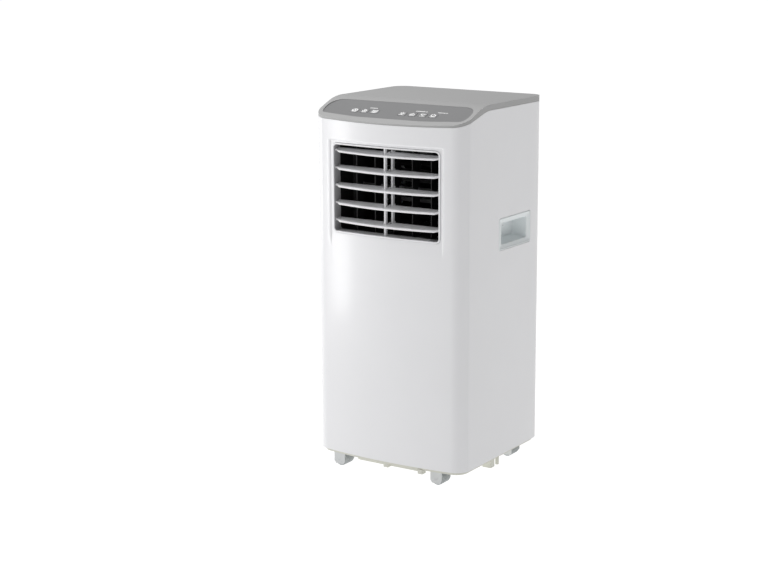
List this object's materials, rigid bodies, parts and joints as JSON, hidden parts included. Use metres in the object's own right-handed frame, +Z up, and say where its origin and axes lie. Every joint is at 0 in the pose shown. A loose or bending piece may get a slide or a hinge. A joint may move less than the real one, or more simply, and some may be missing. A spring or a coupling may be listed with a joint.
{
  "type": "portable air conditioner",
  "caption": "Slim upright portable air conditioner: white housing, grey sloped control top, louvered front outlet, side grips, rear filters and hose collar, casters.",
  "frame": {"origin": "on the floor under the middle of the body's bounding box", "axes": "+Z up, the bowed front with the air outlet faces -Y, +X to the right seen from the front"},
  "size_m": [0.322, 0.3, 0.695],
  "materials": {
    "shell_white": "satin moulded plastic, white",
    "base_cream": "satin moulded plastic, cream white",
    "cover_grey": "satin moulded plastic, light grey",
    "fascia_grey": "smooth plastic, mid grey",
    "handle_white": "satin moulded plastic, cool white",
    "wheel_grey": "moulded grey tread",
    "duct_black": "matte black plastic",
    "coil_metal": "bare fins",
    "motor_steel": "galvanised sheet",
    "compressor_black": "black enamel",
    "rubber_black": "matte",
    "copper": "bare copper tube",
    "board_green": "solder mask"
  },
  "bodies": {
    "chassis": {"base_pan": "base_cream", "front_panel": "shell_white", "side_panel_left": "shell_white", "side_panel_right": "shell_white", "rear_panel": "shell_white", "top_cover": "cover_grey", "control_fascia": "fascia_grey", "display_board": "board_green", "louver_frame": "shell_white", "handle_left": "handle_white", "handle_right": "handle_white", "evaporator": "coil_metal", "condenser": "coil_metal", "mid_deck": "base_cream", "evaporator_scroll": "duct_black", "condenser_scroll": "duct_black", "fan_motors": "motor_steel", "compressor": "compressor_black", "compressor_mounts": "rubber_black", "refrigerant_pipes": "copper", "control_box": "motor_steel", "main_board": "board_green", "splash_motor": "motor_steel", "exhaust_collar": "shell_white", "cord_gland": "rubber_black", "screws": "motor_steel"},
    "louver_blade_1": {"louver_blade_1": "shell_white"},
    "louver_blade_2": {"louver_blade_2": "shell_white"},
    "louver_blade_3": {"louver_blade_3": "shell_white"},
    "louver_blade_4": {"louver_blade_4": "shell_white"},
    "louver_blade_5": {"louver_blade_5": "shell_white"},
    "louver_link": {"louver_link": "shell_white"},
    "vane_1": {"vane_1": "duct_black"},
    "vane_2": {"vane_2": "duct_black"},
    "vane_3": {"vane_3": "duct_black"},
    "vane_4": {"vane_4": "duct_black"},
    "vane_5": {"vane_5": "duct_black"},
    "vane_link": {"vane_link": "duct_black"},
    "evaporator_fan": {"evaporator_fan": "duct_black"},
    "condenser_fan": {"condenser_fan": "duct_black"},
    "splash_wheel": {"splash_wheel": "duct_black"},
    "upper_filter": {"upper_filter": "shell_white"},
    "lower_filter": {"lower_filter": "shell_white"},
    "drain_plug_upper": {"drain_plug_upper": "rubber_black"},
    "drain_plug_lower": {"drain_plug_lower": "rubber_black"},
    "caster_fork_front_left": {"caster_fork_front_left": "shell_white"},
    "caster_wheel_front_left": {"caster_wheel_front_left": "wheel_grey"},
    "caster_fork_front_right": {"caster_fork_front_right": "shell_white"},
    "caster_wheel_front_right": {"caster_wheel_front_right": "wheel_grey"},
    "caster_fork_rear_left": {"caster_fork_rear_left": "shell_white"},
    "caster_wheel_rear_left": {"caster_wheel_rear_left": "wheel_grey"},
    "caster_fork_rear_right": {"caster_fork_rear_right": "shell_white"},
    "caster_wheel_rear_right": {"caster_wheel_rear_right": "wheel_grey"},
    "key_1": {"key_1": "fascia_grey"},
    "key_2": {"key_2": "fascia_grey"},
    "key_3": {"key_3": "fascia_grey"},
    "key_4": {"key_4": "fascia_grey"},
    "key_5": {"key_5": "fascia_grey"},
    "key_6": {"key_6": "fascia_grey"},
    "key_7": {"key_7": "fascia_grey"}
  },
  "joints": [
    {"name": "louver_blade_1_tilt", "type": "hinge", "parent": "chassis", "child": "louver_blade_1", "pos_m": [0, -0.136, 0.4774], "axis": [1, 0, 0], "range_deg": [-40, 20]},
    {"name": "louver_blade_2_tilt", "type": "hinge", "parent": "chassis", "child": "louver_blade_2", "pos_m": [0, -0.136, 0.5094], "axis": [1, 0, 0], "range_deg": [-40, 20]},
    {"name": "louver_blade_3_tilt", "type": "hinge", "parent": "chassis", "child": "louver_blade_3", "pos_m": [0, -0.136, 0.5414], "axis": [1, 0, 0], "range_deg": [-40, 20]},
    {"name": "louver_blade_4_tilt", "type": "hinge", "parent": "chassis", "child": "louver_blade_4", "pos_m": [0, -0.136, 0.5734], "axis": [1, 0, 0], "range_deg": [-40, 20]},
    {"name": "louver_blade_5_tilt", "type": "hinge", "parent": "chassis", "child": "louver_blade_5", "pos_m": [0, -0.136, 0.6054], "axis": [1, 0, 0], "range_deg": [-40, 20]},
    {"name": "louver_link_pivot", "type": "hinge", "parent": "louver_blade_1", "child": "louver_link", "pos_m": [0.0034, -0.1235, 0.48098], "axis": [1, 0, 0], "range_deg": [-20, 40]},
    {"name": "vane_1_turn", "type": "hinge", "parent": "chassis", "child": "vane_1", "pos_m": [-0.08, -0.104, 0.537], "axis": [0, 0, 1], "range_deg": [-35, 35]},
    {"name": "vane_2_turn", "type": "hinge", "parent": "chassis", "child": "vane_2", "pos_m": [-0.04, -0.104, 0.537], "axis": [0, 0, 1], "range_deg": [-35, 35]},
    {"name": "vane_3_turn", "type": "hinge", "parent": "chassis", "child": "vane_3", "pos_m": [0, -0.104, 0.537], "axis": [0, 0, 1], "range_deg": [-35, 35]},
    {"name": "vane_4_turn", "type": "hinge", "parent": "chassis", "child": "vane_4", "pos_m": [0.04, -0.104, 0.537], "axis": [0, 0, 1], "range_deg": [-35, 35]},
    {"name": "vane_5_turn", "type": "hinge", "parent": "chassis", "child": "vane_5", "pos_m": [0.08, -0.104, 0.537], "axis": [0, 0, 1], "range_deg": [-35, 35]},
    {"name": "vane_link_pivot", "type": "hinge", "parent": "vane_1", "child": "vane_link", "pos_m": [-0.08, -0.089, 0.54], "axis": [0, 0, 1], "range_deg": [-35, 35]},
    {"name": "evaporator_fan_spin", "type": "hinge", "parent": "chassis", "child": "evaporator_fan", "pos_m": [0, 0.02, 0.52], "axis": [1, 0, 0], "continuous": true},
    {"name": "condenser_fan_spin", "type": "hinge", "parent": "chassis", "child": "condenser_fan", "pos_m": [0, 0.005, 0.325], "axis": [1, 0, 0], "continuous": true},
    {"name": "splash_wheel_spin", "type": "hinge", "parent": "chassis", "child": "splash_wheel", "pos_m": [0.06, 0.0925, 0.075], "axis": [0, 1, 0], "continuous": true},
    {"name": "upper_filter_pull", "type": "slide", "parent": "chassis", "child": "upper_filter", "axis": [0, 1, 0], "range_m": [0, 0.06]},
    {"name": "lower_filter_pull", "type": "slide", "parent": "chassis", "child": "lower_filter", "axis": [0, 1, 0], "range_m": [0, 0.06]},
    {"name": "drain_plug_upper_pull", "type": "slide", "parent": "chassis", "child": "drain_plug_upper", "axis": [0, 1, 0], "range_m": [0, 0.025]},
    {"name": "drain_plug_lower_pull", "type": "slide", "parent": "chassis", "child": "drain_plug_lower", "axis": [0, 1, 0], "range_m": [0, 0.025]},
    {"name": "caster_swivel_front_left", "type": "hinge", "parent": "chassis", "child": "caster_fork_front_left", "pos_m": [-0.1075, -0.108, 0.03], "axis": [0, 0, 1], "continuous": true},
    {"name": "caster_roll_front_left", "type": "hinge", "parent": "caster_fork_front_left", "child": "caster_wheel_front_left", "pos_m": [-0.119, -0.108, 0.0125], "axis": [0, 1, 0], "continuous": true},
    {"name": "caster_swivel_front_right", "type": "hinge", "parent": "chassis", "child": "caster_fork_front_right", "pos_m": [0.1075, -0.108, 0.03], "axis": [0, 0, 1], "continuous": true},
    {"name": "caster_roll_front_right", "type": "hinge", "parent": "caster_fork_front_right", "child": "caster_wheel_front_right", "pos_m": [0.096, -0.108, 0.0125], "axis": [0, 1, 0], "continuous": true},
    {"name": "caster_swivel_rear_left", "type": "hinge", "parent": "chassis", "child": "caster_fork_rear_left", "pos_m": [-0.1075, 0.108, 0.03], "axis": [0, 0, 1], "continuous": true},
    {"name": "caster_roll_rear_left", "type": "hinge", "parent": "caster_fork_rear_left", "child": "caster_wheel_rear_left", "pos_m": [-0.096, 0.108, 0.0125], "axis": [0, 1, 0], "continuous": true},
    {"name": "caster_swivel_rear_right", "type": "hinge", "parent": "chassis", "child": "caster_fork_rear_right", "pos_m": [0.1075, 0.108, 0.03], "axis": [0, 0, 1], "continuous": true},
    {"name": "caster_roll_rear_right", "type": "hinge", "parent": "caster_fork_rear_right", "child": "caster_wheel_rear_right", "pos_m": [0.119, 0.108, 0.0125], "axis": [0, 1, 0], "continuous": true},
    {"name": "key_1_press", "type": "slide", "parent": "chassis", "child": "key_1", "axis": [0, 0.3827, -0.9239], "range_m": [0, 0.0008], "stiffness_N_per_m": 600},
    {"name": "key_2_press", "type": "slide", "parent": "chassis", "child": "key_2", "axis": [0, 0.3827, -0.9239], "range_m": [0, 0.0008], "stiffness_N_per_m": 600},
    {"name": "key_3_press", "type": "slide", "parent": "chassis", "child": "key_3", "axis": [0, 0.3827, -0.9239], "range_m": [0, 0.0008], "stiffness_N_per_m": 600},
    {"name": "key_4_press", "type": "slide", "parent": "chassis", "child": "key_4", "axis": [0, 0.3827, -0.9239], "range_m": [0, 0.0008], "stiffness_N_per_m": 600},
    {"name": "key_5_press", "type": "slide", "parent": "chassis", "child": "key_5", "axis": [0, 0.3827, -0.9239], "range_m": [0, 0.0008], "stiffness_N_per_m": 600},
    {"name": "key_6_press", "type": "slide", "parent": "chassis", "child": "key_6", "axis": [0, 0.3827, -0.9239], "range_m": [0, 0.0008], "stiffness_N_per_m": 600},
    {"name": "key_7_press", "type": "slide", "parent": "chassis", "child": "key_7", "axis": [0, 0.3827, -0.9239], "range_m": [0, 0.0008], "stiffness_N_per_m": 600}
  ],
  "couplings": [
    {"joint": "louver_blade_2_tilt", "follows": "louver_blade_1_tilt", "ratio": 1},
    {"joint": "louver_blade_3_tilt", "follows": "louver_blade_1_tilt", "ratio": 1},
    {"joint": "louver_blade_4_tilt", "follows": "louver_blade_1_tilt", "ratio": 1},
    {"joint": "louver_blade_5_tilt", "follows": "louver_blade_1_tilt", "ratio": 1},
    {"joint": "louver_link_pivot", "follows": "louver_blade_1_tilt", "ratio": -1},
    {"joint": "vane_2_turn", "follows": "vane_1_turn", "ratio": 1},
    {"joint": "vane_3_turn", "follows": "vane_1_turn", "ratio": 1},
    {"joint": "vane_4_turn", "follows": "vane_1_turn", "ratio": 1},
    {"joint": "vane_5_turn", "follows": "vane_1_turn", "ratio": 1},
    {"joint": "vane_link_pivot", "follows": "vane_1_turn", "ratio": -1}
  ]
}
